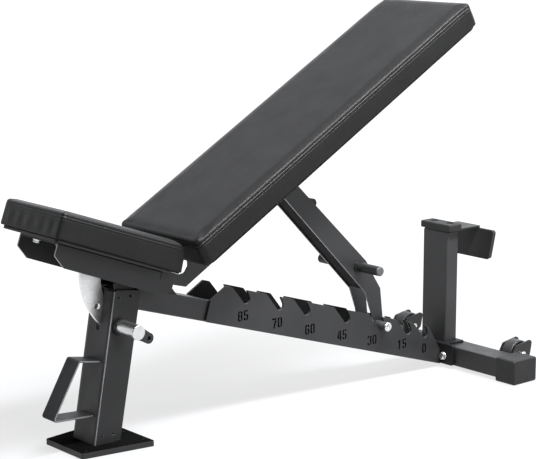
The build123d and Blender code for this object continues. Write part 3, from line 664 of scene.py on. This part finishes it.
# Seat cushion: shorter, the same sewn band, small tension folds by the front
# corner, and a rear end that rolls down towards the hinge.
S = dict(u0=-0.3368, u1=0.0153, hw=0.1146, n0=0.0142, n1=0.0766)
SEAT1, SEAT2 = S["n1"] - 0.0112, S["n1"] - 0.0172
slev = levels(S, SEAT1, SEAT2, [S["n0"] + 0.009, S["n0"] + 0.016, S["n0"] + 0.023, S["n0"] + 0.030])
seat, srings, sindex, sdim = build_pad("seat_cushion", S["u0"], S["u1"], S["hw"], S["n0"], S["n1"],
                                       0.0085, 0.0105, 0.0092, 0.0026, slev, 0.0105)
L1, L2 = slev.index(SEAT1), slev.index(SEAT2)
co = puff(seat, sdim, sindex, S, (L1, L2), 0.0018, 0.0014, 0.05)
co2, nrm = sew(seat, co, srings, ((L1, 0.0010, 0.0002), (L2, 0.0005, 0.0001)),
               ((L1 - 2, 0.0005), (L2 + 2, 0.0005)))
mid = (S["n0"] + SEAT2) / 2
for i, c in enumerate(co):
    if c[2] > SEAT2 or c[2] < S["n0"] + 0.003:
        continue
    side = exp(-((c[2] - mid) / 0.017) ** 2)
    d = 0.0
    if c[0] < S["u0"] + 0.005:
        for yc, w, a in ((-0.086, 0.006, -0.8), (-0.070, 0.007, 0.6), (-0.052, 0.006, -0.7), (-0.034, 0.008, 0.5),
                         (-0.012, 0.007, -0.4), (0.012, 0.006, 0.6), (0.030, 0.007, -0.7), (0.046, 0.006, 0.6),
                         (0.062, 0.007, -0.6), (0.085, 0.006, 0.5)):
            d += a * 0.0016 * exp(-((c[1] - yc) / w) ** 2)
    if abs(c[1]) > S["hw"] - 0.005:
        for uc, w, a in ((-0.300, 0.007, -0.6), (-0.282, 0.008, 0.4), (-0.240, 0.012, -0.4), (-0.120, 0.016, 0.5),
                         (-0.085, 0.012, -0.5), (-0.030, 0.010, 0.4)):
            d += a * 0.0011 * exp(-((c[0] - uc) / w) ** 2)
    co2[i] += nrm[i] * d * side
# the rear end: top rolled over a large radius, face leaning forward
roll = 0.031
over = np.clip((co2[:, 0] - (S["u1"] - roll)) / roll, 0, 1)
drop = roll * (1 - np.sqrt(np.maximum(1 - over ** 2, 0.0)))
h = (co2[:, 2] - S["n0"]) / (S["n1"] - S["n0"])
co2[:, 2] -= h * drop * 0.95
co2[:, 0] -= 0.0056 * np.clip(h, 0, 1) * np.clip(over, 0, 1)
co2[:, 2] += 0.0050 * np.clip(h, 0, 1) * ((co2[:, 0] - S["u0"]) / (S["u1"] - S["u0"]) - 0.5) * (1 - over ** 2)
# its underside is pressed in where the two arms of the back come up
arm = np.clip(1 - (np.abs(np.abs(co2[:, 1]) - 0.0495) - 0.0050) / 0.009, 0, 1) * np.clip((co2[:, 0] + 0.014) / 0.008, 0, 1)
co2[:, 2] = np.maximum(co2[:, 2], S["n0"] + 0.0058 * arm)
set_co(seat, co2)
finish_pad(seat, SEAT_M, "seat", "seat_pad", PAD)

# ------------------------------------------------------------ floor and light
floor_m = Mat("floor_white")
floor_m.link(floor_m.ramp(floor_m.noise(2.0, 3.0, 0.5), [(0.3, 0.086), (0.7, 0.091)]), floor_m.b.inputs["Base Color"])
floor_m.b.inputs["Roughness"].default_value = 0.85
floor_m.b.inputs["Specular IOR Level"].default_value = 0.1
floor_m.b.inputs["Emission Color"].default_value = (1, 1, 1, 1)
away = floor_m.node("ShaderNodeVectorMath", operation="DOT_PRODUCT")
away.inputs[1].default_value = (0.649, 0.760, 0.0)
floor_m.link(floor_m.co, away.inputs[0])
floor_m.link(floor_m.range(away.outputs["Value"], 0.70, 0.99, 0.3, 2.6), floor_m.b.inputs["Emission Strength"])
me = bpy.data.meshes.new("floor")
me.from_pydata([(-30, -30, 0), (30, -30, 0), (30, 30, 0), (-30, 30, 0)], [], [(0, 1, 2, 3)])
floor = bpy.data.objects.new("floor", me)
floor.location.z = -0.0005
coll.objects.link(floor)
floor.data.materials.append(floor_m.m)

BAND = 1.25
world = bpy.data.worlds.new("studio")
scene.world = world
world.use_nodes = True
# A bright sweep behind and above the bench, a dim room in front of it; the
# backdrop itself reads as plain white.
wn = world.node_tree
bg = wn.nodes["Background"]
bg.inputs["Color"].default_value = (0.975, 0.99, 1.02, 1)
tc = wn.nodes.new("ShaderNodeTexCoord")
dot = wn.nodes.new("ShaderNodeVectorMath")
dot.operation = "DOT_PRODUCT"
dot.inputs[1].default_value = (-0.85, -0.52, 0.0)
wn.links.new(tc.outputs["Generated"], dot.inputs[0])
mr = wn.nodes.new("ShaderNodeMapRange")
mr.interpolation_type = "SMOOTHSTEP"
mr.inputs["From Min"].default_value = -0.5
mr.inputs["From Max"].default_value = 0.55
mr.inputs["To Min"].default_value = 1.25
mr.inputs["To Max"].default_value = 0.10
wn.links.new(dot.outputs["Value"], mr.inputs["Value"])
# the sweep is brightest low down, where it glances off the upper faces
sep = wn.nodes.new("ShaderNodeSeparateXYZ")
wn.links.new(tc.outputs["Generated"], sep.inputs[0])
band = wn.nodes.new("ShaderNodeMapRange")
band.interpolation_type = "SMOOTHSTEP"
band.inputs["From Min"].default_value = 0.12
band.inputs["From Max"].default_value = 0.52
band.inputs["To Min"].default_value = BAND
band.inputs["To Max"].default_value = 1.0
wn.links.new(sep.outputs["Z"], band.inputs["Value"])
mul = wn.nodes.new("ShaderNodeMath")
mul.operation = "MULTIPLY"
wn.links.new(mr.outputs["Result"], mul.inputs[0])
wn.links.new(band.outputs["Result"], mul.inputs[1])
wn.links.new(mul.outputs["Value"], bg.inputs["Strength"])
back_drop = wn.nodes.new("ShaderNodeBackground")
back_drop.inputs["Color"].default_value = (1, 1, 1, 1)
lp = wn.nodes.new("ShaderNodeLightPath")
mx = wn.nodes.new("ShaderNodeMixShader")
wn.links.new(lp.outputs["Is Camera Ray"], mx.inputs["Fac"])
wn.links.new(bg.outputs["Background"], mx.inputs[1])
wn.links.new(back_drop.outputs["Background"], mx.inputs[2])
wn.links.new(mx.outputs["Shader"], wn.nodes["World Output"].inputs["Surface"])


def area(name, loc, target, size, power):
    li = bpy.data.lights.new(name, "AREA")
    li.shape = "RECTANGLE"
    li.size, li.size_y = size
    li.energy = power
    ob = bpy.data.objects.new(name, li)
    ob.location = loc
    ob.rotation_euler = (Vector(target) - Vector(loc)).to_track_quat("-Z", "Y").to_euler()
    coll.objects.link(ob)
    return ob


area("strip", (0.55, -1.05, 2.55), (0.5, -0.1, 0.6), (2.6, 0.34), 260.0)
area("fill", (1.6, -2.7, 1.7), (0.6, 0, 0.35), (2.0, 1.4), 22.0)

# ------------------------------------------------------------------- camera
cam = bpy.data.cameras.new("camera")
cam.sensor_fit = "HORIZONTAL"
cam.sensor_width = 36.0
cam.lens = 36.0 * 1706.0 / 536.0
cam.clip_end = 200.0
cam_ob = bpy.data.objects.new("camera", cam)
coll.objects.link(cam_ob)
cam_ob.location = (-2.103, -3.0565, 1.203)
yaw, pitch = radians(40.5), radians(10.9)
look = Vector((sin(yaw) * cos(pitch), cos(yaw) * cos(pitch), -sin(pitch)))
cam_ob.rotation_euler = look.to_track_quat("-Z", "Y").to_euler()
scene.camera = cam_ob
scene.view_settings.view_transform = "Standard"
